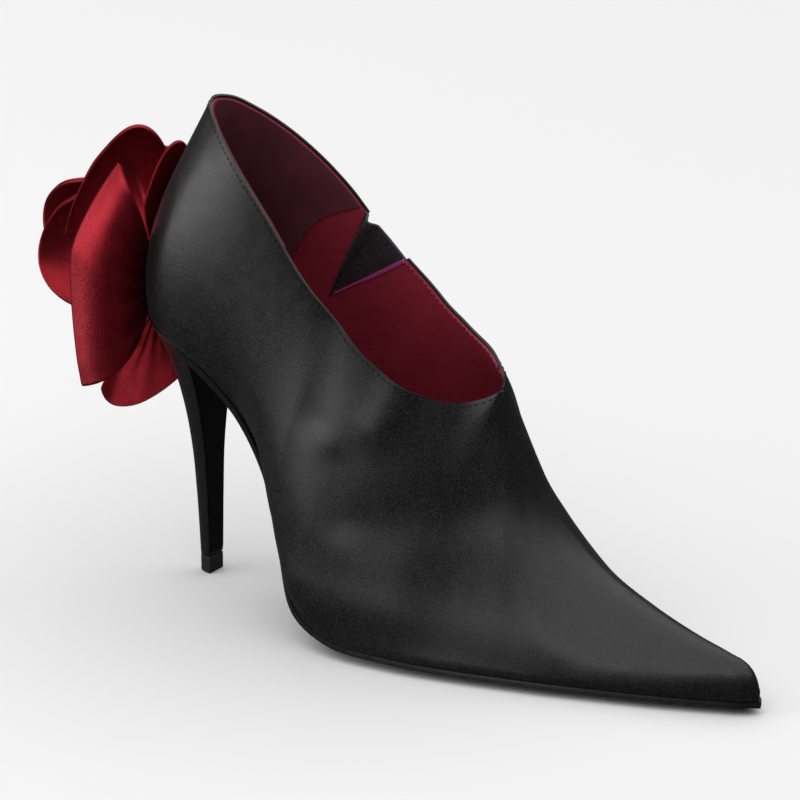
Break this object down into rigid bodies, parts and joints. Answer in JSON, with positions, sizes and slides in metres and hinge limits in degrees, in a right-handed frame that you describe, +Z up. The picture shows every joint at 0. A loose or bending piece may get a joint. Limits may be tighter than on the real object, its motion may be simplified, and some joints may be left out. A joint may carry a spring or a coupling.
{
  "type": "stiletto shoe",
  "caption": "Right pointed-toe stiletto in black satin with a high deep-cut collar, an elastic gusset on the inner side, a slim covered heel and a large red fabric rose behind the heel.",
  "frame": {"origin": "on the floor under the middle of the heel's tip, on the bottom face of the top piece", "axes": "+X towards the toe, +Y towards the inner side of the right foot, +Z up"},
  "size_m": [0.2932, 0.0773, 0.1705],
  "materials": {
    "black_satin": "black satin with a soft sheen, lined inside with burgundy leather",
    "elastic": "matt black elastic",
    "sole_leather": "smooth black, polished at its edge",
    "insole_leather": "smooth burgundy",
    "heel_satin": "black satin drawn over the heel, with a smooth black breast",
    "top_piece_rubber": "hard matt black rubber",
    "red_satin": "doubled deep red satin with a bright sheen"
  },
  "bodies": {
    "root": {"upper": "black_satin", "gusset": "elastic", "outsole": "sole_leather", "insole": "insole_leather", "heel": "heel_satin", "top_piece": "top_piece_rubber", "bud": "red_satin", "petal_outer": "red_satin", "petal_top": "red_satin", "petal_inner": "red_satin", "petal_bottom": "red_satin", "petal_fold": "red_satin", "petal_side": "red_satin", "petal_crown": "red_satin", "petal_back": "red_satin", "petal_low": "red_satin", "petal_heart": "red_satin", "petal_heart_outer": "red_satin"}
  },
  "joints": []
}
